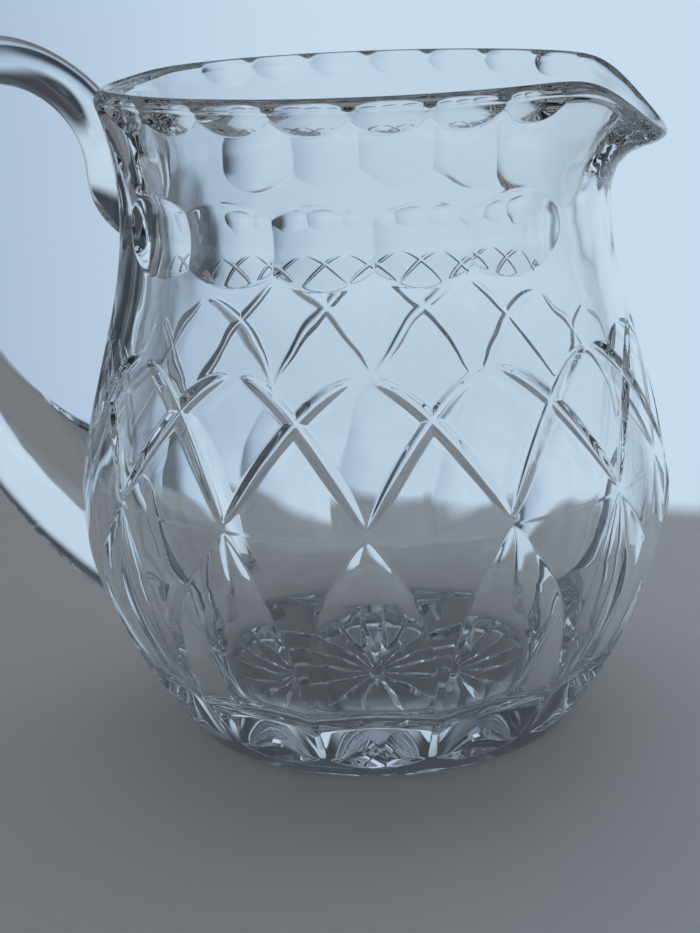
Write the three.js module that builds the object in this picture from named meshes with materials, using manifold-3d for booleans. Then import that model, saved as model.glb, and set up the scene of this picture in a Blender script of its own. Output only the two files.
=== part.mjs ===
import * as THREE from 'three';
import { mergeVertices } from 'three/addons/utils/BufferGeometryUtils.js';
import Module from 'manifold-3d';

// A cut glass pitcher with a pulled spout and an applied handle.
// Millimetres, +Z up, +X towards the spout, origin at the middle of the flat underside.

const wasm = await Module();
wasm.setup();

const DEG = Math.PI / 180;
const HALF_TURN = Math.PI;
const FULL_TURN = 2 * Math.PI;

// Blown body: heights stand above the underside and radii are of the outside
const RIM_HEIGHT = 140.3;
const RIM_RADIUS = 57.2;
const NECK_HEIGHT = 115;
const NECK_RADIUS = 51.5;
const BELLY_HEIGHT = 47;
const BELLY_RADIUS = 64.6;
const FOOT_RADIUS = 43.8;
const FOOT_BEVEL = 1.6;
const LIP_THICKNESS = 4.4;
const NECK_WALL = 6.6;
const BELLY_WALL = 5.2;
const FLOOR_THICKNESS = 12;

// Powers of the curves between those places: 1 is straight, more bends later
const FOOT_CURVE = 1.6;
const RIM_FLARE_CURVE = 2.2;
const FLOOR_CURVE = 2.6;

// Height of the rounded corner between the inside of the wall and the floor
const FLOOR_CORNER_HEIGHT = 9;

// Pulled spout, bent out of the top of the wall
const SPOUT_PULL_HEIGHT = 26;
const SPOUT_OVERHANG = 5.7;
const SPOUT_DROP = 13.6;
const SPOUT_HALF_WIDTH = 20 * DEG;
const SPOUT_BLUNTNESS = 2.4;

// Rim pressed in a little where the handle's arm was laid on it
const RIM_PRESS = 5.4;
const RIM_PRESS_HALF_WIDTH = 26 * DEG;
const RIM_PRESS_CURVE = 3;

// Ring of crossed mitre cuts round the belly
const LATTICE_REPEATS = 14;
const LATTICE_PHASE = -5 * DEG;
const LATTICE_TOP = 89.5;
const LATTICE_HEIGHT = 28;
const LATTICE_BOW = 0.77;
const LATTICE_TOP_GAP = 0.045;
const MITRE_DEPTH = 0.95;
const MITRE_HALF_ANGLE = 54 * DEG;
const MITRE_TAPER = 2.5;

// Hollow flute with an ogive top under each lower point of that ring
const FLUTE_TOP_GAP = 1.2;
const FLUTE_LAND = 1.6;
const FLUTE_OGIVE_HEIGHT = 46;
const FLUTE_OGIVE_CURVE = 3.2;
const FLUTE_DEPTH = 3;
const FLUTE_RAMP = 1.7;
const FLUTE_END_HEIGHT = 4.4;
const FLUTE_END_ROUND = 2.5;
const FLUTE_RUN_OUT = 11;

// Rounded cuts on both sides, one row round the neck and one biting the edge under the rim
const NECK_PRINTIES = {
  perSide: 5,
  pitch: 19,
  middle: 89.5 * DEG,
  height: NECK_HEIGHT - 1.9,
  width: 24,
  tall: 16,
  depth: 1.9,
  facets: 5,
};
const RIM_SCALLOPS = {
  perSide: 7,
  pitch: 14.7,
  middle: 90 * DEG,
  height: RIM_HEIGHT - 2,
  width: 15.2,
  tall: 9.6,
  depth: 1.4,
  facets: 4,
};

// Star on the underside
const STAR_RAYS = 16;
const STAR_HUB_RADIUS = 3;
const STAR_MARGIN = 3.8;
const STAR_DEPTH = 2.2;
const STAR_HALF_ANGLE = 64 * DEG;

// Applied handle, drawn up from a heavy root on the belly and over a crest
const WELD_GAP = 0.3;
const ROOT_TOP = 61.5;
const ROOT_BOTTOM = 14;
const ROOT_WIDTH = 25;
const GRIP_HEIGHT = 105;
const GRIP_OVERHANG = 42.6;
const GRIP_THICKNESS = 14.4;
const GRIP_WIDTH = 16;
const CREST_RISE = 9.5;
const CREST_OVERHANG = 22.6;
const CREST_THICKNESS = 10.3;
const CREST_WIDTH = 14.4;

// Its end, folded under the crest and pressed down the neck to a thin tail
const FOLD_HEIGHT = 124;
const FOLD_DROP = 2.7;
const FOLD_THICKNESS = 8.5;
const FOLD_WIDTH = 16.4;
const TAIL_HEIGHT = 105.5;
const TAIL_THICKNESS = 4;
const TAIL_WIDTH = 4;

// How far the handle's edges run on, out and up, into each place and away from it
const ROOT_TOP_PULL = [19, 7.5];
const ROOT_BOTTOM_PULL = [32.5, 2];
const GRIP_INNER_PULL = [[0, 18], [0, 20]];
const GRIP_OUTER_PULL = [[0, 34], [0, 24]];
const CREST_INNER_PULL = [[-9, 0], [-11, 0]];
const CREST_OUTER_PULL = [[-15, 0], [-14, 0]];
const FOLD_INNER_PULL = [[0, -10], [0, -8]];
const FOLD_OUTER_PULL = [[-3, -12], [0, -8]];
const TAIL_INNER_PULL = [-6, -3.5];
const TAIL_OUTER_PULL = [0, -6];

// Room that the wheel needs round the handle's root
const WHEEL_CLEARANCE = 2.5;

// Facets
const SEGMENTS = 4 * LATTICE_REPEATS;
const FOOT_ROWS = 4;
const BELLY_ROWS = 6;
const FLARE_ROWS = 5;
const LIP_ROWS = 4;
const INNER_FLARE_ROWS = 4;
const INNER_BELLY_ROWS = 3;
const INNER_FOOT_ROWS = 2;
const FLOOR_ROWS = 4;
const MITRE_ROWS = 6;
const FLUTE_ROWS = 7;
const FLUTE_END_ROWS = 2;
const FLUTE_RUN_OUT_ROWS = 2;
const FLUTE_COLUMNS = 4;
const STAR_ROWS = 5;
const HANDLE_SIDES = 18;
const HANDLE_ROWS = [11, 8, 7, 4];

// Cutters run a little past the surface that they cut
const CUTTER_SPREAD = 1.15;
const CUTTER_OVERRUN = 0.8;
const CUTTER_LIFT = 1.5;
const CUT_END_LIFT = 0.02;
const PROBE = 0.01;

const LIP_RADIUS = LIP_THICKNESS / 2;
const LIP_CENTRE_HEIGHT = RIM_HEIGHT - LIP_RADIUS;
const LIP_CENTRE_RADIUS = RIM_RADIUS - LIP_RADIUS;
const LATTICE_PITCH = FULL_TURN / LATTICE_REPEATS;
const FLUTE_TOP = LATTICE_TOP - LATTICE_HEIGHT - FLUTE_TOP_GAP;
const FLUTE_HALF_WIDTH = (LATTICE_PITCH - FLUTE_LAND / BELLY_RADIUS) / 2;
const FLUTE_OVERRUN = FLUTE_LAND / BELLY_RADIUS / 3;
const UP = new THREE.Vector3(0, 0, 1);

function mix(from, to, share) {
  return from + (to - from) * share;
}

function smooth(share) {
  return share * share * (3 - 2 * share);
}

function clamp01(value) {
  return Math.min(1, Math.max(0, value));
}

// Shares from 0 to 1 in equal steps
function steps(count) {
  return Array.from({ length: count + 1 }, (_, i) => i / count);
}

function span(from, to, count) {
  return steps(count).map((share) => mix(from, to, share));
}

function polar(radius, angle, height) {
  return new THREE.Vector3(radius * Math.cos(angle), radius * Math.sin(angle), height);
}

function shareOf(height, from, to) {
  return (height - from) / (to - from);
}

// Outside of the body before any cut, from the foot to the middle of the lip
function outerRadius(height) {
  if (height < BELLY_HEIGHT) {
    const down = clamp01(shareOf(height, BELLY_HEIGHT, 0));
    return mix(BELLY_RADIUS, FOOT_RADIUS, down ** FOOT_CURVE);
  }
  if (height < NECK_HEIGHT) {
    return mix(BELLY_RADIUS, NECK_RADIUS, smooth(shareOf(height, BELLY_HEIGHT, NECK_HEIGHT)));
  }
  const up = clamp01(shareOf(height, NECK_HEIGHT, LIP_CENTRE_HEIGHT));
  return mix(NECK_RADIUS, RIM_RADIUS, up ** RIM_FLARE_CURVE);
}

function wallThickness(height) {
  if (height < NECK_HEIGHT) {
    const up = clamp01(shareOf(height, BELLY_HEIGHT, NECK_HEIGHT));
    return mix(BELLY_WALL, NECK_WALL, smooth(up));
  }
  return mix(NECK_WALL, LIP_THICKNESS, shareOf(height, NECK_HEIGHT, LIP_CENTRE_HEIGHT));
}

function outerProfile(growth) {
  const heights = [
    ...span(FOOT_BEVEL, BELLY_HEIGHT, FOOT_ROWS),
    ...span(BELLY_HEIGHT, NECK_HEIGHT, BELLY_ROWS).slice(1),
    ...span(NECK_HEIGHT, LIP_CENTRE_HEIGHT, FLARE_ROWS).slice(1),
  ];
  return heights.map((height) => new THREE.Vector2(outerRadius(height) + growth, height));
}

function lipArc(radius, turn) {
  return span(0, turn, LIP_ROWS).slice(1).map((angle) => new THREE.Vector2(
    LIP_CENTRE_RADIUS + radius * Math.cos(angle),
    LIP_CENTRE_HEIGHT + radius * Math.sin(angle),
  ));
}

function innerRadius(height) {
  return outerRadius(height) - wallThickness(height);
}

// Inside of the wall, then a rounded corner to the middle of the floor
function innerProfile() {
  const cornerTop = FLOOR_THICKNESS + FLOOR_CORNER_HEIGHT;
  const heights = [
    ...span(LIP_CENTRE_HEIGHT, NECK_HEIGHT, INNER_FLARE_ROWS).slice(1),
    ...span(NECK_HEIGHT, BELLY_HEIGHT, INNER_BELLY_ROWS).slice(1),
    ...span(BELLY_HEIGHT, cornerTop, INNER_FOOT_ROWS).slice(1),
  ];
  const wall = heights.map((height) => new THREE.Vector2(innerRadius(height), height));
  const corner = span(0, HALF_TURN / 2, FLOOR_ROWS).slice(1).map((angle) => {
    const down = Math.sin(angle) ** (2 / FLOOR_CURVE);
    const across = (1 - down ** FLOOR_CURVE) ** (1 / FLOOR_CURVE);
    const height = mix(cornerTop, FLOOR_THICKNESS, down);
    return new THREE.Vector2(innerRadius(height) * across, height);
  });
  return [...wall, ...corner];
}

function middleRadius(height) {
  return outerRadius(height) - wallThickness(height) / 2;
}

// Middle of the wall down the centre of the spout
function spoutBend() {
  const startHeight = LIP_CENTRE_HEIGHT - SPOUT_PULL_HEIGHT;
  const start = new THREE.Vector2(middleRadius(startHeight), startHeight);
  const tip = new THREE.Vector2(
    RIM_RADIUS + SPOUT_OVERHANG - LIP_RADIUS,
    RIM_HEIGHT - SPOUT_DROP,
  );
  const corner = new THREE.Vector2(start.x, tip.y - LIP_RADIUS / 2);
  return new THREE.QuadraticBezierCurve(start, corner, tip);
}

// Carries a point of the plain wall to its place on the pulled spout
function pullSpout(point, bend) {
  const angle = Math.atan2(point.y, point.x);
  const radius = Math.hypot(point.x, point.y);
  const height = Math.min(point.z, LIP_CENTRE_HEIGHT);
  const share = clamp01(shareOf(height, bend.v0.y, LIP_CENTRE_HEIGHT));
  const along = bend.getTangent(share);
  const outward = new THREE.Vector2(along.y, -along.x);
  const place = bend.getPoint(share);
  place.addScaledVector(outward, radius - middleRadius(height));
  place.addScaledVector(along, point.z - height);
  const pull = Math.exp(-((Math.abs(angle) / SPOUT_HALF_WIDTH) ** SPOUT_BLUNTNESS));
  return polar(mix(radius, place.x, pull), angle, mix(point.z, place.y, pull));
}

// Carries a point near the handle to its place on the pressed rim
function pressRim(point) {
  const angle = Math.atan2(point.y, point.x);
  const aside = (HALF_TURN - Math.abs(angle)) / RIM_PRESS_HALF_WIDTH;
  const up = clamp01(shareOf(point.z, NECK_HEIGHT, RIM_HEIGHT));
  const press = RIM_PRESS * Math.exp(-(aside ** 2)) * up ** RIM_PRESS_CURVE;
  return polar(Math.hypot(point.x, point.y) - press, angle, point.z);
}

// Moves every vertex above a height by the same rule
function reshape(geometry, lowest, rule) {
  const places = geometry.attributes.position;
  const point = new THREE.Vector3();
  for (let i = 0; i < places.count; i += 1) {
    point.fromBufferAttribute(places, i);
    if (point.z > lowest) {
      const moved = rule(point);
      places.setXYZ(i, moved.x, moved.y, moved.z);
    }
  }
  return geometry;
}

function toManifold(geometry) {
  geometry.deleteAttribute('normal');
  geometry.deleteAttribute('uv');
  const welded = mergeVertices(geometry);
  return new wasm.Manifold(new wasm.Mesh({
    numProp: 3,
    vertProperties: welded.attributes.position.array,
    triVerts: new Uint32Array(welded.index.array),
  }));
}

function toGeometry(manifold) {
  const mesh = manifold.getMesh();
  const geometry = new THREE.BufferGeometry();
  geometry.setAttribute('position', new THREE.BufferAttribute(mesh.vertProperties, mesh.numProp));
  geometry.setIndex(new THREE.BufferAttribute(mesh.triVerts, 1));
  geometry.computeVertexNormals();
  return geometry;
}

// Turns a profile, drawn from the axis at the bottom round to the axis at the top, about +Z
function turned(profile) {
  return new THREE.LatheGeometry(profile, SEGMENTS).rotateX(HALF_TURN / 2);
}

// Closed solid through rings of the same number of points, which may run round either way
function loft(rings) {
  const count = rings[0].length;
  const last = (rings.length - 1) * count;
  const faces = [];
  for (let side = 0; side < count; side += 1) {
    const next = (side + 1) % count;
    for (let row = 0; row < last; row += count) {
      faces.push(row + side, row + next, row + count + next);
      faces.push(row + side, row + count + next, row + count + side);
    }
  }
  for (let side = 1; side < count - 1; side += 1) {
    faces.push(0, side + 1, side);
    faces.push(last, last + side, last + side + 1);
  }
  const geometry = new THREE.BufferGeometry().setFromPoints(rings.flat());
  const solid = toManifold(geometry.setIndex(faces));
  return solid.volume() > 0 ? solid : toManifold(geometry.setIndex(faces.reverse()));
}

function unite(solids) {
  return solids.reduce((whole, solid) => whole.add(solid));
}

// Cutter that leaves the body's surface at cutRadius(offset, height) round one angle
function hollowCutter({ middle, heights, halfWidth, columns, cutRadius, lift }) {
  return loft(heights.map((height) => {
    const width = halfWidth(height);
    const floor = span(width, -width, columns).map(
      (offset) => polar(cutRadius(offset, height), middle + offset, height),
    );
    const lid = (outerRadius(height) + lift) / Math.cos(width);
    return [...floor, polar(lid, middle - width, height), polar(lid, middle + width, height)];
  }));
}

function printyCutter(printy, middle) {
  const halfTall = printy.tall / 2;
  const halfWidth = printy.width / 2 / outerRadius(printy.height);
  const reach = halfTall * CUTTER_SPREAD;
  return hollowCutter({
    middle,
    heights: span(printy.height - reach, printy.height + reach, printy.facets),
    halfWidth: () => halfWidth * CUTTER_SPREAD,
    columns: printy.facets,
    cutRadius: (offset, height) => {
      const across = offset / halfWidth;
      const up = (height - printy.height) / halfTall;
      return outerRadius(height) - printy.depth * (1 - across ** 2 - up ** 2);
    },
    lift: 2 * printy.depth * CUTTER_SPREAD ** 2,
  });
}

// The same row on both sides of the body, clear of the spout and the handle
function printyRow(row) {
  const pitch = row.pitch / outerRadius(row.height);
  const places = steps(row.perSide - 1).map((share) => (share - 0.5) * (row.perSide - 1) * pitch);
  return [row.middle, -row.middle].flatMap(
    (side) => places.map((place) => printyCutter(row, side + place)),
  );
}

// Share of the way down from the ogive's point to the flute's full width
function fluteDown(height) {
  return clamp01((FLUTE_TOP - height) / FLUTE_OGIVE_HEIGHT);
}

function fluteHalfWidth(height) {
  const ogive = 1 - (1 - fluteDown(height)) ** FLUTE_OGIVE_CURVE;
  const end = clamp01((height - FLUTE_END_HEIGHT) / FLUTE_END_ROUND);
  return FLUTE_HALF_WIDTH * ogive * Math.sqrt(end);
}

// Deepest on its middle line, and back to the surface at its edges
function fluteDepth(offset, height) {
  const ramp = 1 - (1 - fluteDown(height)) ** FLUTE_RAMP;
  const runOut = clamp01((height - FLUTE_END_HEIGHT) / FLUTE_RUN_OUT);
  const across = offset / Math.max(fluteHalfWidth(height), PROBE);
  return FLUTE_DEPTH * ramp * runOut * (1 - across ** 2) - CUT_END_LIFT;
}

function fluteCutter(middle) {
  const roundHeight = FLUTE_END_HEIGHT + FLUTE_END_ROUND;
  const fullHeight = FLUTE_END_HEIGHT + FLUTE_RUN_OUT;
  return hollowCutter({
    middle,
    heights: [
      ...span(FLUTE_END_HEIGHT - CUTTER_OVERRUN, roundHeight, FLUTE_END_ROWS),
      ...span(roundHeight, fullHeight, FLUTE_RUN_OUT_ROWS).slice(1),
      ...span(fullHeight, FLUTE_TOP + CUTTER_OVERRUN, FLUTE_ROWS).slice(1),
    ],
    halfWidth: (height) => fluteHalfWidth(height) + FLUTE_OVERRUN,
    columns: FLUTE_COLUMNS,
    cutRadius: (offset, height) => outerRadius(height) - fluteDepth(offset, height),
    lift: CUTTER_LIFT,
  });
}

function surfaceNormal(angle, height) {
  const slope = (outerRadius(height + PROBE) - outerRadius(height - PROBE)) / (2 * PROBE);
  return polar(1, angle, -slope).normalize();
}

// Deepest in the middle of its run, and just off the surface at both ends
function mitreDepth(share) {
  return MITRE_DEPTH * (1 - Math.abs(2 * share - 1) ** MITRE_TAPER) - CUT_END_LIFT;
}

// Three points of a V cutter: its edge at a depth and its two corners above the surface
function wedge(place, normal, aside, depth, halfAngle) {
  const half = (depth + CUTTER_LIFT) * Math.tan(halfAngle);
  const cover = place.clone().addScaledVector(normal, CUTTER_LIFT);
  return [
    place.clone().addScaledVector(normal, -depth),
    cover.clone().addScaledVector(aside, half),
    cover.clone().addScaledVector(aside, -half),
  ];
}

// V cut that runs one pitch from an upper point of the lattice to a lower one
function mitreCutter(start, direction) {
  const angleAt = (share) => start + direction * LATTICE_PITCH * share;
  const heightAt = (share) => LATTICE_TOP - LATTICE_HEIGHT * mix(share, share ** 2, LATTICE_BOW);
  const placeAt = (share) => polar(outerRadius(heightAt(share)), angleAt(share), heightAt(share));
  return loft(steps(MITRE_ROWS).map((run) => {
    const share = mix(LATTICE_TOP_GAP, 1, run);
    const along = placeAt(share + PROBE).sub(placeAt(share - PROBE));
    const normal = surfaceNormal(angleAt(share), heightAt(share));
    const aside = new THREE.Vector3().crossVectors(normal, along).normalize();
    return wedge(placeAt(share), normal, aside, mitreDepth(run), MITRE_HALF_ANGLE);
  }));
}

function latticeCutters() {
  return steps(LATTICE_REPEATS).slice(1).flatMap((share) => {
    const middle = LATTICE_PHASE + share * FULL_TURN;
    return [fluteCutter(middle), mitreCutter(middle - LATTICE_PITCH, 1), mitreCutter(middle, -1)];
  });
}

// Ray of the star, deepest towards the hub and running out towards the foot
function starRayCutter(angle) {
  const down = UP.clone().negate();
  const aside = new THREE.Vector3(0, 1, 0);
  const rings = steps(STAR_ROWS).map((share) => {
    const radius = mix(STAR_HUB_RADIUS, FOOT_RADIUS - STAR_MARGIN, share);
    const depth = STAR_DEPTH * Math.sin(HALF_TURN * Math.sqrt(share)) - CUT_END_LIFT;
    return wedge(new THREE.Vector3(radius, 0, 0), down, aside, depth, STAR_HALF_ANGLE);
  });
  return loft(rings.map((ring) => ring.map((point) => point.applyAxisAngle(UP, angle))));
}

function starCutters() {
  return steps(STAR_RAYS).slice(1).map((share) => starRayCutter(share * FULL_TURN));
}

// The body's outside as a filled solid, grown by the gap that the handle keeps from it
function bodyHull(gap) {
  const profile = [
    new THREE.Vector2(0, -gap),
    new THREE.Vector2(FOOT_RADIUS, -gap),
    ...outerProfile(gap),
    ...lipArc(LIP_RADIUS + gap, HALF_TURN / 2),
    new THREE.Vector2(0, RIM_HEIGHT + gap),
  ];
  return toManifold(reshape(turned(profile), NECK_HEIGHT, pressRim));
}

// Edge in the handle's plane through knots [out, up], each with the pulls that bend it there
function handleEdge(knots) {
  return knots.slice(1).map((knot, i) => {
    const from = knots[i];
    return new THREE.CubicBezierCurve(
      new THREE.Vector2(...from.at),
      new THREE.Vector2(from.at[0] + from.leave[0], from.at[1] + from.leave[1]),
      new THREE.Vector2(knot.at[0] - knot.arrive[0], knot.at[1] - knot.arrive[1]),
      new THREE.Vector2(...knot.at),
    );
  });
}

function knot(out, up, arrive, leave) {
  return { at: [out, up], arrive, leave };
}

// Oval ring across the handle, between a point of its inner edge and one of its outer edge
function ovalRing(inner, outer, width) {
  const middle = inner.clone().lerp(outer, 0.5);
  const half = outer.clone().sub(middle);
  return span(0, FULL_TURN, HANDLE_SIDES).slice(1).map((turn) => new THREE.Vector3(
    -middle.x - half.x * Math.cos(turn),
    width / 2 * Math.sin(turn),
    middle.y + half.y * Math.cos(turn),
  ));
}

function ovalBar(innerKnots, outerKnots, widths, rows) {
  const outerEdge = handleEdge(outerKnots);
  const rings = handleEdge(innerKnots).flatMap((innerCurve, i) => {
    const shares = steps(rows[i]).slice(Math.min(i, 1));
    return shares.map((share) => ovalRing(
      innerCurve.getPoint(share),
      outerEdge[i].getPoint(share),
      mix(widths[i], widths[i + 1], smooth(share)),
    ));
  });
  return loft(rings);
}

// Edges from the root up to the crest, then folded down the neck, where the outer edge sinks in
function handleKnots() {
  const gripReach = BELLY_RADIUS + GRIP_OVERHANG;
  const crestReach = RIM_RADIUS + CREST_OVERHANG;
  const crestHeight = RIM_HEIGHT + CREST_RISE;
  const inWall = NECK_RADIUS - NECK_WALL / 2;
  return {
    inner: [
      knot(BELLY_RADIUS - BELLY_WALL / 2, ROOT_TOP, null, ROOT_TOP_PULL),
      knot(gripReach - GRIP_THICKNESS, GRIP_HEIGHT, ...GRIP_INNER_PULL),
      knot(crestReach, crestHeight - CREST_THICKNESS, ...CREST_INNER_PULL),
      knot(NECK_RADIUS + FOLD_THICKNESS, FOLD_HEIGHT - FOLD_DROP, ...FOLD_INNER_PULL),
      knot(NECK_RADIUS, TAIL_HEIGHT, TAIL_INNER_PULL),
    ],
    outer: [
      knot(outerRadius(ROOT_BOTTOM) - BELLY_WALL / 2, ROOT_BOTTOM, null, ROOT_BOTTOM_PULL),
      knot(gripReach, GRIP_HEIGHT, ...GRIP_OUTER_PULL),
      knot(crestReach, crestHeight, ...CREST_OUTER_PULL),
      knot(inWall, FOLD_HEIGHT, ...FOLD_OUTER_PULL),
      knot(inWall, TAIL_HEIGHT - TAIL_THICKNESS, TAIL_OUTER_PULL),
    ],
  };
}

// Space round the handle's root that the wheel can't reach, so nothing is cut there
function wheelKeepOut() {
  return toManifold(new THREE.SphereGeometry(1, SEGMENTS / 2, SEGMENTS / 4)
    .rotateX(HALF_TURN / 2)
    .scale(
      BELLY_RADIUS / 2,
      ROOT_WIDTH / 2 + WHEEL_CLEARANCE,
      (ROOT_TOP - ROOT_BOTTOM) / 2 + WHEEL_CLEARANCE,
    )
    .translate(-BELLY_RADIUS, 0, mix(ROOT_BOTTOM, ROOT_TOP, 0.5)));
}

function makeBody() {
  const bend = spoutBend();
  const profile = [
    new THREE.Vector2(0, 0),
    new THREE.Vector2(FOOT_RADIUS - FOOT_BEVEL, 0),
    ...outerProfile(0),
    ...lipArc(LIP_RADIUS, HALF_TURN),
    ...innerProfile(),
  ];
  const blank = reshape(turned(profile), bend.v0.y, (point) => pressRim(pullSpout(point, bend)));
  const wheelWork = unite([
    ...latticeCutters(),
    ...printyRow(NECK_PRINTIES),
    ...printyRow(RIM_SCALLOPS),
  ]).subtract(wheelKeepOut());
  return toManifold(blank).subtract(wheelWork).subtract(unite(starCutters()));
}

function makeHandle() {
  const { inner, outer } = handleKnots();
  const widths = [ROOT_WIDTH, GRIP_WIDTH, CREST_WIDTH, FOLD_WIDTH, TAIL_WIDTH];
  return ovalBar(inner, outer, widths, HANDLE_ROWS).subtract(bodyHull(WELD_GAP));
}

function clearGlass() {
  return new THREE.MeshStandardMaterial({ color: 0xe8f1f5, roughness: 0.04, metalness: 0 });
}

function glassPiece(name, manifold) {
  const mesh = new THREE.Mesh(toGeometry(manifold), clearGlass());
  mesh.name = name;
  return mesh;
}

const pitcher = new THREE.Group();
pitcher.name = 'cut_glass_pitcher';
pitcher.add(glassPiece('pitcher_body', makeBody()));
pitcher.add(glassPiece('applied_handle', makeHandle()));

export default pitcher;
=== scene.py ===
import math

import bmesh
import bpy
import numpy as np
from mathutils import Matrix, Vector
from mathutils.bvhtree import BVHTree


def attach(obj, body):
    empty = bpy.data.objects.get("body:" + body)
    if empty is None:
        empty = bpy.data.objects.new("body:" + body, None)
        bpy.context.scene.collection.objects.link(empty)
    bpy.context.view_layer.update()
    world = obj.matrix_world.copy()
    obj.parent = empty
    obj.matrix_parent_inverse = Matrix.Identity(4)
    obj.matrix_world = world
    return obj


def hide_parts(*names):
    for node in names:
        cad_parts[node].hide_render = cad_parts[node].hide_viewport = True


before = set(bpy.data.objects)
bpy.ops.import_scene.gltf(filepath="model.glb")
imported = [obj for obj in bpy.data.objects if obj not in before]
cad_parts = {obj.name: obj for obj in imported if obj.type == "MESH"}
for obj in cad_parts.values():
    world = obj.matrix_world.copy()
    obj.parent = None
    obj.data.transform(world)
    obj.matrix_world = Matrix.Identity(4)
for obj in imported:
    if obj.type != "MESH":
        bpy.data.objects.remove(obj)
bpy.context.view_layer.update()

# Sizes are in millimetres, as in the CAD source, and meshes are made in metres
MM = 0.001
DEG = math.pi / 180

# Blown body
RIM_HEIGHT = 140.3
RIM_RADIUS = 57.2
NECK_HEIGHT = 115
NECK_RADIUS = 51.5
BELLY_HEIGHT = 47
BELLY_RADIUS = 64.6
FOOT_RADIUS = 43.8
FOOT_BEVEL = 1.6
LIP_THICKNESS = 4.4
NECK_WALL = 6.6
BELLY_WALL = 5.2
FLOOR_THICKNESS = 12
FOOT_CURVE = 1.6
RIM_FLARE_CURVE = 2.2
FLOOR_CORNER_HEIGHT = 9
FLOOR_CURVE = 2.6
LIP_RADIUS = LIP_THICKNESS / 2
LIP_CENTRE_HEIGHT = RIM_HEIGHT - LIP_RADIUS
LIP_CENTRE_RADIUS = RIM_RADIUS - LIP_RADIUS
LIP_TALL = 4.4

# Pulled spout, and the rim pressed in under the handle's arm
SPOUT_PULL_HEIGHT = 26
SPOUT_OVERHANG = 5.7
SPOUT_DROP = 13.6
SPOUT_HALF_WIDTH = 20 * DEG
SPOUT_BLUNTNESS = 2.4
RIM_PRESS = 5.4
RIM_PRESS_HALF_WIDTH = 26 * DEG
RIM_PRESS_CURVE = 3

# Lattice of mitre cuts, and the flutes below it
REPEATS = 14
PITCH = 2 * math.pi / REPEATS
LATTICE_PHASE = -5 * DEG
LATTICE_TOP = 89.5
LATTICE_HEIGHT = 28
LATTICE_BOW = 0.77
LATTICE_TOP_GAP = 0.045
MITRE_DEPTH = 0.95
MITRE_SLOPE = math.tan(54 * DEG)
MITRE_TAPER = 3.2
MITRE_ROUND = 0.5
MITRE_END_SLOPE = 40
CUT_END_LIFT = 0.02
FLUTE_GAP = 1.2
FLUTE_LAND = 1.6
FLUTE_TOP = LATTICE_TOP - LATTICE_HEIGHT - FLUTE_GAP
FLUTE_HALF_WIDTH = (PITCH - FLUTE_LAND / BELLY_RADIUS) / 2
FLUTE_OGIVE_HEIGHT = 46
FLUTE_OGIVE_CURVE = 3.2
FLUTE_DEPTH = 3
FLUTE_RAMP = 1.7
FLUTE_END_HEIGHT = 4.4
FLUTE_END_ROUND = 2.5
FLUTE_RUN_OUT = 11

# Rounded cuts on both sides: how many, pitch, angle of the middle one, level of the middles,
# width, height, depth
NECK_PRINTIES = (5, 19, 89.5 * DEG, NECK_HEIGHT - 1.9, 24, 16, 1.9)
RIM_SCALLOPS = (7, 14.7, 90 * DEG, RIM_HEIGHT - 2, 15.2, 9.6, 1.4)

# Star on the underside
STAR_RAYS = 16
STAR_HUB_RADIUS = 3
STAR_INSET = 3.8
STAR_RADIUS = FOOT_RADIUS - STAR_INSET
STAR_DEPTH = 2.2
STAR_SLOPE = math.tan(64 * DEG)

# The wheel can't reach this ellipsoid round the handle's root
KEEP_OUT_MIDDLE = (-BELLY_RADIUS, 0, 37.75)
KEEP_OUT_HALF = (BELLY_RADIUS / 2, 15, 26.25)

# Handle in its plane: knots (out, up), with the pulls that arrive and leave, and full widths
HANDLE_INNER = (
    ((62, 61.5), None, (19, 7.5)),
    ((92.8, 105), (0, 18), (0, 20)),
    ((79.8, 139.5), (-9, 0), (-11, 0)),
    ((60, 121.3), (0, -10), (0, -8)),
    ((51.5, 105.5), (-6, -3.5), None),
)
HANDLE_OUTER = (
    ((41.2, 14), None, (32.5, 2)),
    ((107.2, 105), (0, 34), (0, 24)),
    ((79.8, 149.8), (-15, 0), (-14, 0)),
    ((48.2, 124), (-3, -12), (0, -8)),
    ((48.2, 101.5), (0, -6), None),
)
HANDLE_WIDTHS = (25, 16, 14.4, 16.4, 4)

# Facets: steps up the wall, over the foot and, in radians, round the lip and the floor's corner
COLUMNS = 96 * REPEATS
FINE_STEP = 0.3
PLAIN_STEP = 0.9
STAR_STEP = 0.6
FOOT_STEP = 2
LIP_STEP = 0.06
CORNER_STEP = 0.03
HANDLE_SIDES = 80
HANDLE_ROWS = (130, 90, 70, 40)
MITRE_SAMPLES = 400

# Fine rows go on this far past a cut, and the foot's bevel has small second edges
FINE_MARGIN = 1
STAR_MARGIN = 0.5
BEVEL_EDGE = 0.12
BEVEL_EDGE_DOWN = 0.08

# Rounding where cuts meet, and a depth and a width that stand for none
POLISH = 0.05
NO_DEPTH = -9.0
NO_WIDTH = 1e-4

# Seat of the handle: its gap from the uncut body, how near a fused face lies, and the wedge
WELD_GAP = 0.1
WELD_REACH = 0.3
WEDGE_HALF_WIDTH = 0.6
WEDGE_COLUMNS = 80
WEDGE_STEP = 1.0
WEDGE_TURN_STEP = 0.1
WEDGE_CORE_RADIUS = 20

# Glass, and the waves in it: how many to the metre, and their height
GLASS_TINT = (0.98, 0.988, 0.992)
GLASS_IOR = 1.54
WAVE_SCALE = 70
WAVE_HEIGHT = 0.25

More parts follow.
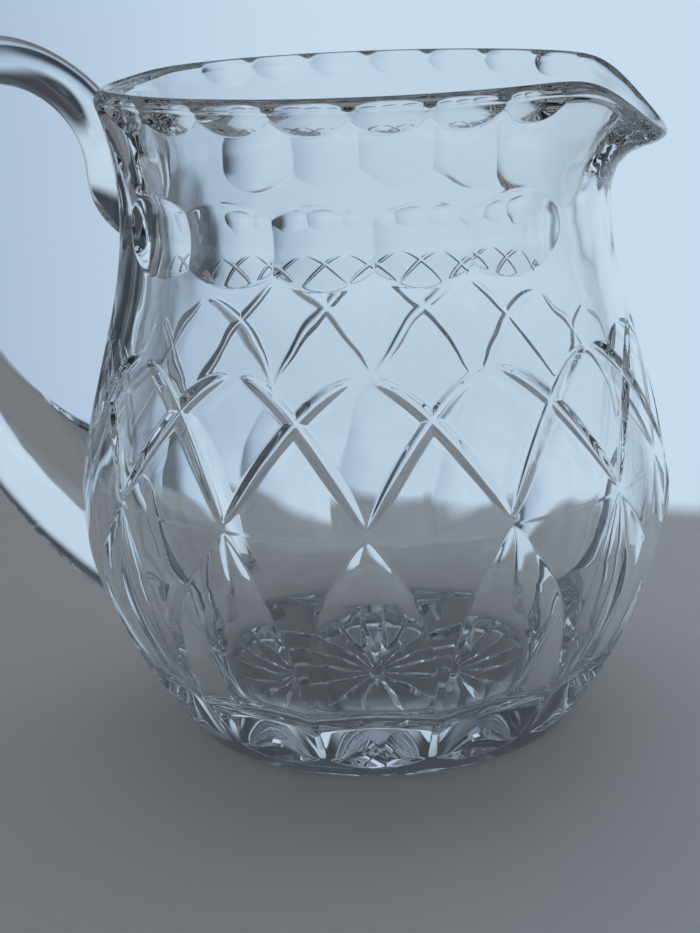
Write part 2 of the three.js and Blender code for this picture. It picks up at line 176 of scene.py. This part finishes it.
# Colours round the pitcher
BACKDROP = (0.565, 0.716, 0.855)
BACKDROP_DIM = (0.365, 0.485, 0.648)
ROOM = (0.04, 0.045, 0.055)
CEILING = (0.2, 0.25, 0.31)
GROUND = (0.36, 0.385, 0.41)
# Painted light: the floor's paler grey on the right
GROUND_PAINTED_LIGHT_RIGHT = (0.5, 0.56, 0.62)
GROUND_ROUGHNESS = 0.6
LIGHT = (1, 1, 1)
LIGHT_DIM = (0.3, 0.3, 0.3)

# Where they fade in, as shares of the direction forward from the camera
BACKDROP_FRONT = (0.47, 0.77)
LIGHT_FRONT = (-0.2, 0.7)

# As shares of the direction to the right
BACKDROP_LEFT = (-0.33, -0.2)
DIM_SPAN = (-0.3, 0)

# As shares of the direction upwards
HORIZON = (-0.75, -0.7)
BACKDROP_LOW = (-0.3, -0.36)
BACKDROP_TOP = (0.1, 0.3)
OVERHEAD = (0.75, 0.9)

# Backdrops on the other sides: how far round from the front one, and where each one fades in
OTHER_BACKDROPS = (
    (90 * DEG, (0.7, 0.85)),
    (-90 * DEG, (0.8, 0.9)),
    (180 * DEG, (0.35, 0.55)),
)

# Floor, in metres from the foot's middle: the turn of its far edge against the camera, where it
# ends there, how far out the glass shows it, how far down it lies, and where painted light
# makes it paler
EDGE_TURN = -14.5 * DEG
FLOOR_EDGE = (0.1265, 0.1455)
FLOOR_REACH = (0.085, 0.13)
FLOOR_GAP = 0.0003
PAINTED_LIGHT_SPAN = (-0.15, 0.25)

# Ground that the glass shows further out, in metres: how far down, and where it ends ahead
GROUND_DEPTH = 0.045
GROUND_EDGE = (0.262, 0.295)

# Disc that the floor and the ground are each made of
LEVEL_RADIUS = 3
LEVEL_SIDES = 128

# Camera: its place is (right, ahead, up) of the foot's middle, before the turn by its azimuth
CAMERA_PLACE = (0.5, -360.81, 170.29)
CAMERA_PITCH = 0.310425
CAMERA_YAW = -0.0162159
CAMERA_ROLL = -0.0425360
CAMERA_AZIMUTH = 9.5 * DEG
CAMERA_LENS = 65.87


def mix(start, end, share):
    return start + (end - start) * share


def smooth(share):
    return share * share * (3 - 2 * share)


def clamp01(value):
    return np.clip(value, 0, 1)


def share_of(height, start, end):
    return (height - start) / (end - start)


def outer_radius(height):
    height = np.asarray(height, dtype=float)
    down = clamp01(share_of(height, BELLY_HEIGHT, 0))
    waist = smooth(clamp01(share_of(height, BELLY_HEIGHT, NECK_HEIGHT)))
    flare = clamp01(share_of(height, NECK_HEIGHT, LIP_CENTRE_HEIGHT))
    foot = mix(BELLY_RADIUS, FOOT_RADIUS, down ** FOOT_CURVE)
    neck = mix(BELLY_RADIUS, NECK_RADIUS, waist)
    rim = mix(NECK_RADIUS, RIM_RADIUS, flare ** RIM_FLARE_CURVE)
    return np.where(height < BELLY_HEIGHT, foot, np.where(height < NECK_HEIGHT, neck, rim))


def wall_thickness(height):
    waist = smooth(clamp01(share_of(height, BELLY_HEIGHT, NECK_HEIGHT)))
    flare = clamp01(share_of(height, NECK_HEIGHT, LIP_CENTRE_HEIGHT))
    return mix(mix(BELLY_WALL, NECK_WALL, waist), LIP_THICKNESS, flare)


def rows(start, end, step):
    count = max(1, math.ceil(abs(end - start) / step))
    return np.linspace(start, end, count + 1)


# ---- Cuts, each as its depth under the uncut surface, negative where it doesn't reach

def deeper(first, second):
    return 0.5 * (first + second + np.sqrt((first - second) ** 2 + POLISH ** 2))


def flute_depth(offset, height):
    down = clamp01((FLUTE_TOP - height) / FLUTE_OGIVE_HEIGHT)
    run_out = clamp01((height - FLUTE_END_HEIGHT) / FLUTE_RUN_OUT)
    end = clamp01((height - FLUTE_END_HEIGHT) / FLUTE_END_ROUND)
    width = FLUTE_HALF_WIDTH * (1 - (1 - down) ** FLUTE_OGIVE_CURVE) * np.sqrt(end)
    middle = FLUTE_DEPTH * (1 - (1 - down) ** FLUTE_RAMP) * run_out
    return middle * (1 - (offset / np.maximum(width, NO_WIDTH)) ** 2) - CUT_END_LIFT


# Depth of the V cut that runs one pitch from its upper point, at angle start, to its lower one
def mitre_depth(angle, height, start, direction):
    run = np.linspace(0, 1, MITRE_SAMPLES)
    share = mix(LATTICE_TOP_GAP, 1, run)
    path_height = LATTICE_TOP - LATTICE_HEIGHT * mix(share, share ** 2, LATTICE_BOW)
    path_angle = start + direction * PITCH * share
    heights = height[:, 0]
    slope = np.gradient(outer_radius(heights), heights)
    along_wall = np.concatenate([[0], np.cumsum(np.hypot(1, slope[1:]) * np.diff(heights))])
    path_up = np.interp(path_height, heights, along_wall)
    depth = np.empty(angle.shape)
    for row, z in enumerate(heights):
        radius = float(outer_radius(z))
        across = radius * (angle[row][:, None] - path_angle[None, :])
        up = along_wall[row] - path_up[None, :]
        nearest = np.argmin(across ** 2 + up ** 2, axis=1)
        picked = np.arange(len(nearest))
        step_across = radius * np.gradient(path_angle)[nearest]
        step_up = np.gradient(path_up)[nearest]
        length = np.hypot(step_across, step_up)
        side = across[picked, nearest] * step_up - up[0, nearest] * step_across
        onward = across[picked, nearest] * step_across + up[0, nearest] * step_up
        place = run[nearest] + onward / length ** 2 * (run[1] - run[0])
        floor = MITRE_DEPTH * (1 - np.abs(2 * np.clip(place, 0, 1) - 1) ** MITRE_TAPER)
        beyond = np.maximum(np.abs(place - 0.5) - 0.5, 0)
        aside = np.hypot(side / length, MITRE_ROUND) - MITRE_ROUND
        depth[row] = floor - aside / MITRE_SLOPE - MITRE_END_SLOPE * beyond
    return depth


def printy_depth(printy, angle, height):
    count, pitch, middle, level, width, tall, depth = printy
    radius = float(outer_radius(level))
    result = np.full(np.broadcast(angle, height).shape, NO_DEPTH)
    for side in (middle, -middle):
        for place in (np.arange(count) - (count - 1) / 2) * pitch / radius:
            across = (angle - side - place) * radius / (width / 2)
            up = (height - level) / (tall / 2)
            result = np.maximum(result, depth * (1 - across ** 2 - up ** 2))
    return result


def outside_keep_out(x, y, z):
    reach = sum(
        ((value - middle) / half) ** 2
        for value, middle, half in zip((x, y, z), KEEP_OUT_MIDDLE, KEEP_OUT_HALF)
    )
    return reach > 1


def lattice_depth(heights, columns):
    tile = np.arange(columns) * PITCH / columns
    angle, height = np.meshgrid(tile, heights)
    depth = np.zeros(angle.shape)
    for middle in (0, PITCH):
        depth = deeper(depth, flute_depth(angle - middle, height))
    for start in (-PITCH, 0):
        depth = deeper(depth, mitre_depth(angle, height, start, 1))
    for start in (PITCH, 2 * PITCH):
        depth = deeper(depth, mitre_depth(angle, height, start, -1))
    return np.tile(depth, (1, REPEATS))


# ---- Body mesh

def pull_spout(x, y, z):
    start_z = LIP_CENTRE_HEIGHT - SPOUT_PULL_HEIGHT
    start_r = float(outer_radius(start_z) - wall_thickness(start_z) / 2)
    tip = (RIM_RADIUS + SPOUT_OVERHANG - LIP_RADIUS, RIM_HEIGHT - SPOUT_DROP)
    bend = ((start_r, start_z), (start_r, tip[1] - LIP_RADIUS / 2), tip)
    angle = np.arctan2(y, x)
    radius = np.hypot(x, y)
    height = np.minimum(z, LIP_CENTRE_HEIGHT)
    t = clamp01(share_of(height, start_z, LIP_CENTRE_HEIGHT))
    place = [(1 - t) ** 2 * a + 2 * t * (1 - t) * b + t ** 2 * c for a, b, c in zip(*bend)]
    along = [(1 - t) * (b - a) + t * (c - b) for a, b, c in zip(*bend)]
    length = np.hypot(*along)
    along = [value / length for value in along]
    middle = outer_radius(height) - wall_thickness(height) / 2
    bent_r = place[0] + along[1] * (radius - middle) + along[0] * (z - height)
    bent_z = place[1] - along[0] * (radius - middle) + along[1] * (z - height)
    pull = np.exp(-(np.abs(angle) / SPOUT_HALF_WIDTH) ** SPOUT_BLUNTNESS) * (z > start_z)
    radius, z = mix(radius, bent_r, pull), mix(z, bent_z, pull)
    return radius * np.cos(angle), radius * np.sin(angle), z


def press_rim(x, y, z):
    angle = np.arctan2(y, x)
    aside = (math.pi - np.abs(angle)) / RIM_PRESS_HALF_WIDTH
    up = clamp01(share_of(z, NECK_HEIGHT, RIM_HEIGHT))
    radius = np.hypot(x, y) - RIM_PRESS * np.exp(-aside ** 2) * up ** RIM_PRESS_CURVE
    return radius * np.cos(angle), radius * np.sin(angle), z


def underside_rows():
    radius = np.concatenate([
        rows(STAR_STEP, STAR_RADIUS + STAR_MARGIN, STAR_STEP),
        rows(STAR_RADIUS + STAR_MARGIN, FOOT_RADIUS - FOOT_BEVEL - BEVEL_EDGE, FOOT_STEP)[1:],
    ])
    return radius, np.zeros(len(radius))


# Lowest and highest level that a ring of rounded cuts needs fine rows at
def fine_band(cuts):
    level, tall = cuts[3], cuts[5]
    return level - tall / 2 - FINE_MARGIN, level + tall / 2 + FINE_MARGIN


def wall_rows():
    lattice_end = LATTICE_TOP + FINE_MARGIN
    printies_start, printies_end = fine_band(NECK_PRINTIES)
    scallops_start = fine_band(RIM_SCALLOPS)[0]
    height = np.concatenate([
        [FOOT_BEVEL - BEVEL_EDGE_DOWN],
        rows(FOOT_BEVEL + BEVEL_EDGE, lattice_end, FINE_STEP),
        rows(lattice_end, printies_start, PLAIN_STEP)[1:],
        rows(printies_start, printies_end, FINE_STEP)[1:],
        rows(printies_end, scallops_start, PLAIN_STEP)[1:],
        rows(scallops_start, RIM_HEIGHT - LIP_TALL, FINE_STEP)[1:],
    ])
    return outer_radius(height), height


# Half oval over the top of the wall
def lip_rows():
    turn = rows(0, math.pi, LIP_STEP)[1:]
    height = RIM_HEIGHT - LIP_TALL + LIP_TALL * np.sin(turn)
    middle = outer_radius(height) - wall_thickness(height) / 2
    return middle + wall_thickness(height) / 2 * np.cos(turn), height


def inner_rows():
    corner = FLOOR_THICKNESS + FLOOR_CORNER_HEIGHT
    height = rows(RIM_HEIGHT - LIP_TALL, corner, PLAIN_STEP)[1:]
    turn = rows(0, math.pi / 2, CORNER_STEP)[1:-1]
    down = np.sin(turn) ** (2 / FLOOR_CURVE)
    across = (1 - down ** FLOOR_CURVE) ** (1 / FLOOR_CURVE)
    height = np.concatenate([height, mix(corner, FLOOR_THICKNESS, down)])
    across = np.concatenate([np.ones(len(height) - len(across)), across])
    return (outer_radius(height) - wall_thickness(height)) * across, height


def star_height(radius, angle):
    turn = 2 * math.pi / STAR_RAYS
    aside = (angle + turn / 2) % turn - turn / 2
    share = clamp01(share_of(radius * np.cos(aside), STAR_HUB_RADIUS, STAR_RADIUS))
    floor = STAR_DEPTH * np.sin(math.pi * np.sqrt(share))
    cut = floor - radius * np.abs(np.sin(aside)) / STAR_SLOPE
    return deeper(cut, 0) * (radius > STAR_HUB_RADIUS)


def body_points():
    angle = LATTICE_PHASE + np.arange(COLUMNS) * 2 * math.pi / COLUMNS
    angle = (angle + math.pi) % (2 * math.pi) - math.pi
    radius, height = (values[:, None] * np.ones(COLUMNS) for values in underside_rows())
    parts = [(radius, star_height(radius, angle[None, :]))]
    base, level = wall_rows()
    depth = lattice_depth(level, COLUMNS // REPEATS)
    kept = outside_keep_out(
        (base[:, None] * np.cos(angle)), (base[:, None] * np.sin(angle)), level[:, None])
    depth = depth * kept
    depth = deeper(depth, printy_depth(NECK_PRINTIES, angle[None, :], level[:, None]))
    depth = deeper(depth, printy_depth(RIM_SCALLOPS, angle[None, :], level[:, None]))
    parts.append((base[:, None] - depth, level[:, None] * np.ones(COLUMNS)))
    base, level = lip_rows()
    bitten = outer_radius(level[:, None]) - printy_depth(
        RIM_SCALLOPS, angle[None, :], level[:, None])
    parts.append((-deeper(-base[:, None], -bitten), level[:, None] * np.ones(COLUMNS)))
    parts.append(tuple(values[:, None] * np.ones(COLUMNS) for values in inner_rows()))
    radius = np.concatenate([part[0] for part in parts])
    height = np.concatenate([part[1] for part in parts])
    x, y, z = radius * np.cos(angle), radius * np.sin(angle), height
    return np.stack(press_rim(*pull_spout(x, y, z)), axis=-1)


# Closed mesh from rings of points, with a point or a flat face over each end
def ring_mesh(name, rings, first, last):
    count, columns = rings.shape[:2]
    points = np.concatenate([rings.reshape(-1, 3), [first, last]]) * MM
    ring = np.arange(columns)
    after = (ring + 1) % columns
    lower = (np.arange(count - 1) * columns)[:, None]
    quads = np.stack([lower + ring, lower + after, lower + columns + after,
                      lower + columns + ring], axis=-1).reshape(-1, 4)
    end = (count - 1) * columns
    fans = np.concatenate([
        np.stack([after, ring, np.full(columns, count * columns)], axis=-1),
        np.stack([end + ring, end + after, np.full(columns, count * columns + 1)], axis=-1),
    ])
    mesh = bpy.data.meshes.new(name)
    mesh.vertices.add(len(points))
    mesh.vertices.foreach_set("co", points.ravel())
    mesh.loops.add(quads.size + fans.size)
    mesh.loops.foreach_set("vertex_index", np.concatenate([quads.ravel(), fans.ravel()]))
    mesh.polygons.add(len(quads) + len(fans))
    starts = np.concatenate([np.arange(len(quads)) * 4, quads.size + np.arange(len(fans)) * 3])
    mesh.polygons.foreach_set("loop_start", starts)
    mesh.update(calc_edges=True)
    mesh.polygons.foreach_set("use_smooth", np.ones(len(mesh.polygons), dtype=bool))
    mesh.validate()
    piece = bpy.data.objects.new(name, mesh)
    bpy.context.scene.collection.objects.link(piece)
    return piece


# ---- Handle

def edge_points(knots):
    pieces = []
    for (start, _, leave), (end, arrive, _), count in zip(knots, knots[1:], HANDLE_ROWS):
        start, end = np.array(start, dtype=float), np.array(end, dtype=float)
        t = np.linspace(0, 1, count + 1)[1 if pieces else 0:, None]
        pieces.append((1 - t) ** 3 * start + 3 * t * (1 - t) ** 2 * (start + leave)
                      + 3 * t ** 2 * (1 - t) * (end - arrive) + t ** 3 * end)
    return np.concatenate(pieces)


def handle_rings():
    inner, outer = edge_points(HANDLE_INNER), edge_points(HANDLE_OUTER)
    spans = zip(HANDLE_WIDTHS, HANDLE_WIDTHS[1:], HANDLE_ROWS)
    widths = np.concatenate([
        mix(start, end, smooth(np.linspace(0, 1, count + 1)[1 if i else 0:]))
        for i, (start, end, count) in enumerate(spans)
    ])
    turn = (np.arange(HANDLE_SIDES) * 2 * math.pi / HANDLE_SIDES)[None, :]
    middle, half = (inner + outer) / 2, (outer - inner) / 2
    return np.stack([
        -middle[:, :1] - half[:, :1] * np.cos(turn),
        widths[:, None] / 2 * np.sin(turn),
        middle[:, 1:] + half[:, 1:] * np.cos(turn),
    ], axis=-1)


# Rings round a wedge of the uncut body, grown by the gap, that the handle is cut to
def wedge_rings():
    height = rows(0, LIP_CENTRE_HEIGHT, WEDGE_STEP)
    turn = rows(0, math.pi / 2, WEDGE_TURN_STEP)[1:]
    radius = np.concatenate([
        outer_radius(height) + WELD_GAP,
        LIP_CENTRE_RADIUS + (LIP_RADIUS + WELD_GAP) * np.cos(turn),
        [WEDGE_CORE_RADIUS, WEDGE_CORE_RADIUS],
    ])
    level = np.concatenate([
        height,
        LIP_CENTRE_HEIGHT + (LIP_RADIUS + WELD_GAP) * np.sin(turn),
        [RIM_HEIGHT + WELD_GAP, 0],
    ])
    angle = math.pi + np.linspace(-WEDGE_HALF_WIDTH, WEDGE_HALF_WIDTH, WEDGE_COLUMNS)[:, None]
    x, y = radius * np.cos(angle), radius * np.sin(angle)
    return np.stack(press_rim(x, y, level * np.ones((WEDGE_COLUMNS, 1))), axis=-1)


def closed_loft(name, rings):
    return ring_mesh(name, rings, rings[0].mean(axis=0), rings[-1].mean(axis=0))


def make_handle(glass, fused):
    handle = closed_loft("applied_handle_glass", handle_rings())
    wedge = closed_loft("wedge", wedge_rings())
    for piece in (handle, wedge):
        outward(piece.data)
    handle.data.materials.append(glass)
    wedge.data.materials.append(fused)
    cut = handle.modifiers.new("cut", "BOOLEAN")
    cut.operation = "DIFFERENCE"
    cut.solver = "EXACT"
    cut.material_mode = "TRANSFER"
    cut.object = wedge
    depsgraph = bpy.context.evaluated_depsgraph_get()
    mesh = bpy.data.meshes.new_from_object(handle.evaluated_get(depsgraph))
    handle.modifiers.clear()
    handle.data = mesh
    bpy.data.objects.remove(wedge)
    return handle


# Gives the body's faces under the handle the clear material of the handle's contact faces
def fuse(body, handle):
    joint = BVHTree.FromPolygons(
        [vertex.co for vertex in handle.data.vertices],
        [face.vertices for face in handle.data.polygons if face.material_index == 1])
    faces = body.data.polygons
    centres = np.empty(len(faces) * 3)
    faces.foreach_get("center", centres)
    centres = centres.reshape(-1, 3)
    near = (centres[:, 0] < 0) & (np.abs(centres[:, 1]) < max(HANDLE_WIDTHS) * MM)
    for index in np.flatnonzero(near):
        if joint.find_nearest(Vector(centres[index]), WELD_REACH * MM)[0]:
            faces[index].material_index = 1


def outward(mesh):
    shape = bmesh.new()
    shape.from_mesh(mesh)
    bmesh.ops.recalc_face_normals(shape, faces=shape.faces)
    shape.to_mesh(mesh)
    shape.free()


# ---- Materials

def shader(name):
    material = bpy.data.materials.new(name)
    material.use_nodes = True
    nodes = material.node_tree.nodes
    nodes.clear()
    output = nodes.new("ShaderNodeOutputMaterial")
    return material, nodes, material.node_tree.links, output


# Faint unevenness of blown and hand-polished glass
def wavy_normal(nodes, links):
    place = nodes.new("ShaderNodeTexCoord")
    waves = nodes.new("ShaderNodeTexNoise")
    waves.inputs["Scale"].default_value = WAVE_SCALE
    waves.inputs["Detail"].default_value = 1
    bump = nodes.new("ShaderNodeBump")
    bump.inputs["Distance"].default_value = WAVE_HEIGHT * MM
    links.new(place.outputs["Object"], waves.inputs["Vector"])
    links.new(waves.outputs["Fac"], bump.inputs["Height"])
    return bump.outputs["Normal"]


def glass_material(name):
    material, nodes, links, output = shader(name)
    glass = nodes.new("ShaderNodeBsdfPrincipled")
    glass.inputs["Base Color"].default_value = (*GLASS_TINT, 1)
    glass.inputs["Roughness"].default_value = 0.0
    glass.inputs["IOR"].default_value = GLASS_IOR
    glass.inputs["Transmission Weight"].default_value = 1
    links.new(wavy_normal(nodes, links), glass.inputs["Normal"])
    links.new(glass.outputs["BSDF"], output.inputs["Surface"])
    return material


def fused_material():
    material, nodes, links, output = shader("fused_joint")
    clear = nodes.new("ShaderNodeBsdfTransparent")
    links.new(clear.outputs["BSDF"], output.inputs["Surface"])
    return material


# 0 before the start and 1 after the end, with a soft step between them
def map_range(nodes, links, value, start, end):
    node = nodes.new("ShaderNodeMapRange")
    node.interpolation_type = "SMOOTHSTEP"
    node.inputs["From Min"].default_value = start
    node.inputs["From Max"].default_value = end
    links.new(value, node.inputs["Value"])
    return node.outputs["Result"]


def mix_colors(nodes, links, share, first, second):
    node = nodes.new("ShaderNodeMix")
    node.data_type = "RGBA"
    links.new(share, node.inputs["Factor"])
    for socket, color in ((node.inputs[6], first), (node.inputs[7], second)):
        if isinstance(color, tuple):
            socket.default_value = (*color, 1)
        else:
            links.new(color, socket)
    return node.outputs[2]


# Share of a direction, or distance of a place, along the level direction that the turn gives
def turned_share(nodes, links, direction, turn, *reach):
    along = nodes.new("ShaderNodeVectorMath")
    along.operation = "DOT_PRODUCT"
    along.inputs[1].default_value = (-math.sin(turn), math.cos(turn), 0)
    links.new(direction, along.inputs[0])
    return map_range(nodes, links, along.outputs["Value"], *reach)


def multiply(nodes, links, first, second):
    node = nodes.new("ShaderNodeMath")
    node.operation = "MULTIPLY"
    links.new(first, node.inputs[0])
    links.new(second, node.inputs[1])
    return node.outputs["Value"]


def mix_shaders(nodes, links, share, first, second):
    node = nodes.new("ShaderNodeMixShader")
    links.new(share, node.inputs["Fac"])
    links.new(first, node.inputs[1])
    links.new(second, node.inputs[2])
    return node.outputs["Shader"]


# Plain grey, with painted light that makes it a little paler on the right
def floor_paint_with_painted_light(nodes, links, place):
    paint = nodes.new("ShaderNodeBsdfPrincipled")
    paint.inputs["Roughness"].default_value = GROUND_ROUGHNESS
    right = turned_share(nodes, links, place, CAMERA_AZIMUTH - 90 * DEG, *PAINTED_LIGHT_SPAN)
    color = mix_colors(nodes, links, right, GROUND, GROUND_PAINTED_LIGHT_RIGHT)
    links.new(color, paint.inputs["Base Color"])
    return paint.outputs["BSDF"]


# The camera sees all of the floor up to its edge, and the glass only the middle of it
def floor_material():
    material, nodes, links, output = shader("floor")
    place = nodes.new("ShaderNodeTexCoord").outputs["Object"]
    seen = nodes.new("ShaderNodeLightPath").outputs["Is Camera Ray"]
    hidden = map_range(nodes, links, seen, 1, 0)
    length = nodes.new("ShaderNodeVectorMath")
    length.operation = "LENGTH"
    links.new(place, length.inputs[0])
    gone = map_range(nodes, links, length.outputs["Value"], *FLOOR_REACH)
    ahead = turned_share(nodes, links, place, CAMERA_AZIMUTH + EDGE_TURN, *FLOOR_EDGE)
    clear = nodes.new("ShaderNodeBsdfTransparent")
    floor = mix_shaders(nodes, links, multiply(nodes, links, ahead, seen),
                        floor_paint_with_painted_light(nodes, links, place), clear.outputs["BSDF"])
    floor = mix_shaders(nodes, links, multiply(nodes, links, gone, hidden),
                        floor, clear.outputs["BSDF"])
    links.new(floor, output.inputs["Surface"])
    return material


def ground_material():
    material, nodes, links, output = shader("ground")
    place = nodes.new("ShaderNodeTexCoord").outputs["Object"]
    ahead = turned_share(nodes, links, place, CAMERA_AZIMUTH + EDGE_TURN, *GROUND_EDGE)
    clear = nodes.new("ShaderNodeBsdfTransparent")
    # Same grey, with the same painted light that makes it paler on the right
    ground = mix_shaders(nodes, links, ahead, floor_paint_with_painted_light(nodes, links, place),
                         clear.outputs["BSDF"])
    links.new(ground, output.inputs["Surface"])
    return material


# White light from behind for the floor; a pale backdrop, in a dimmer room, for all that is seen
def make_world():
    world = bpy.data.worlds.new("studio")
    bpy.context.scene.world = world
    world.use_nodes = True
    nodes, links = world.node_tree.nodes, world.node_tree.links
    nodes.clear()
    output = nodes.new("ShaderNodeOutputWorld")
    toward = nodes.new("ShaderNodeTexCoord").outputs["Generated"]
    split = nodes.new("ShaderNodeSeparateXYZ")
    links.new(toward, split.inputs[0])
    up = split.outputs["Z"]
    front = turned_share(nodes, links, toward, CAMERA_AZIMUTH, *BACKDROP_FRONT)
    right = turned_share(nodes, links, toward, CAMERA_AZIMUTH - 90 * DEG, *BACKDROP_LEFT)
    above = map_range(nodes, links, up, *BACKDROP_TOP)
    shade = turned_share(nodes, links, toward, CAMERA_AZIMUTH - 90 * DEG, *DIM_SPAN)
    seen = mix_colors(nodes, links, shade, BACKDROP_DIM, BACKDROP)
    backdrop = mix_colors(nodes, links, front, ROOM, seen)
    low = map_range(nodes, links, up, *BACKDROP_LOW)
    left = mix_colors(nodes, links, right, ROOM, backdrop)
    backdrop = mix_colors(nodes, links, low, left, backdrop)
    for turn, reach in OTHER_BACKDROPS:
        share = turned_share(nodes, links, toward, CAMERA_AZIMUTH + turn, *reach)
        backdrop = mix_colors(nodes, links, share, backdrop, BACKDROP)
    backdrop = mix_colors(nodes, links, above, backdrop, ROOM)
    overhead = map_range(nodes, links, up, *OVERHEAD)
    backdrop = mix_colors(nodes, links, overhead, backdrop, CEILING)
    horizon = map_range(nodes, links, up, *HORIZON)
    ground = mix_colors(nodes, links, horizon, GROUND, backdrop)
    path = nodes.new("ShaderNodeLightPath")
    behind = turned_share(nodes, links, toward, CAMERA_AZIMUTH, *LIGHT_FRONT)
    lamp = mix_colors(nodes, links, behind, LIGHT_DIM, LIGHT)
    color = mix_colors(nodes, links, path.outputs["Is Camera Ray"], ground, seen)
    color = mix_colors(nodes, links, path.outputs["Diffuse Depth"], color, lamp)
    light = nodes.new("ShaderNodeBackground")
    links.new(color, light.inputs["Color"])
    links.new(light.outputs["Background"], output.inputs["Surface"])


def make_level(name, height, material):
    mesh = bpy.data.meshes.new(name)
    shape = bmesh.new()
    bmesh.ops.create_circle(shape, cap_ends=True, radius=LEVEL_RADIUS, segments=LEVEL_SIDES)
    shape.to_mesh(mesh)
    shape.free()
    level = bpy.data.objects.new(name, mesh)
    level.location.z = height
    bpy.context.scene.collection.objects.link(level)
    mesh.materials.append(material)
    return level


def make_camera():
    data = bpy.data.cameras.new("camera")
    data.lens = CAMERA_LENS
    data.sensor_width = 36
    data.sensor_fit = "AUTO"
    data.clip_start = 0.01
    camera = bpy.data.objects.new("camera", data)
    bpy.context.scene.collection.objects.link(camera)
    forward = Vector((math.sin(CAMERA_YAW) * math.cos(CAMERA_PITCH),
                      math.cos(CAMERA_YAW) * math.cos(CAMERA_PITCH), -math.sin(CAMERA_PITCH)))
    right = Vector((math.cos(CAMERA_YAW), -math.sin(CAMERA_YAW), 0))
    up = right.cross(forward)
    axes = Matrix((right, up, -forward)).transposed()
    turn = Matrix.Rotation(CAMERA_AZIMUTH, 3, "Z")
    aim = turn @ axes @ Matrix.Rotation(CAMERA_ROLL, 3, "Z")
    spot = turn @ (Vector(CAMERA_PLACE) * MM)
    camera.matrix_world = Matrix.Translation(spot) @ aim.to_4x4()
    bpy.context.scene.camera = camera


make_camera()
make_world()
make_level("floor", -FLOOR_GAP, floor_material()).visible_diffuse = False
make_level("ground", -GROUND_DEPTH, ground_material()).visible_camera = False
fused = fused_material()

rings = body_points()
body = ring_mesh("pitcher_body_glass", rings, (0, 0, 0), (0, 0, FLOOR_THICKNESS))
glass = glass_material("crystal")
body.data.materials.append(glass)
body.data.materials.append(fused)
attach(body, "root")
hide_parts("pitcher_body")

handle = make_handle(glass, fused)
fuse(body, handle)
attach(handle, "root")
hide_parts("applied_handle")

scene = bpy.context.scene
scene.view_settings.view_transform = "Standard"
scene.cycles.max_bounces = 32
scene.cycles.transmission_bounces = 32
scene.cycles.glossy_bounces = 16
scene.cycles.transparent_max_bounces = 24
